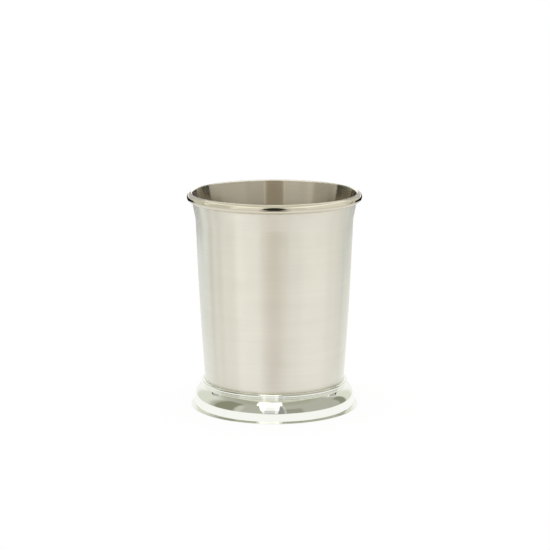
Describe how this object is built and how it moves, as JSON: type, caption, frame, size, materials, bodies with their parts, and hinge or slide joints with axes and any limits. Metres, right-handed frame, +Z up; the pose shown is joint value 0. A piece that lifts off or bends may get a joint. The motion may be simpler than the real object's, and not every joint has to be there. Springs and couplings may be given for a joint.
{
  "type": "julep cup",
  "caption": "Tapered satin metal drinking cup with a flared lip, a polished half-round rim ring and a polished moulded foot.",
  "frame": {"origin": "centre of the flat ring that the cup stands on, at table height", "axes": "+Z up along the cup's axis of revolution; the cup has no front, so X and Y are free"},
  "size_m": [0.0884, 0.0884, 0.11],
  "materials": {
    "satin_steel": "satin, brushed round the cup, warm nickel tone",
    "ring_steel": "polished, warm nickel tone",
    "polished_steel": "mirror polished",
    "plate_steel": "satin, turned in rings",
    "solder": "polished hard solder"
  },
  "bodies": {
    "root": {"cup_shell": "satin_steel", "rim_ring": "ring_steel", "rim_solder": "solder", "foot_ring": "polished_steel", "foot_solder": "solder", "base_plate": "plate_steel", "base_solder": "solder"}
  },
  "joints": []
}
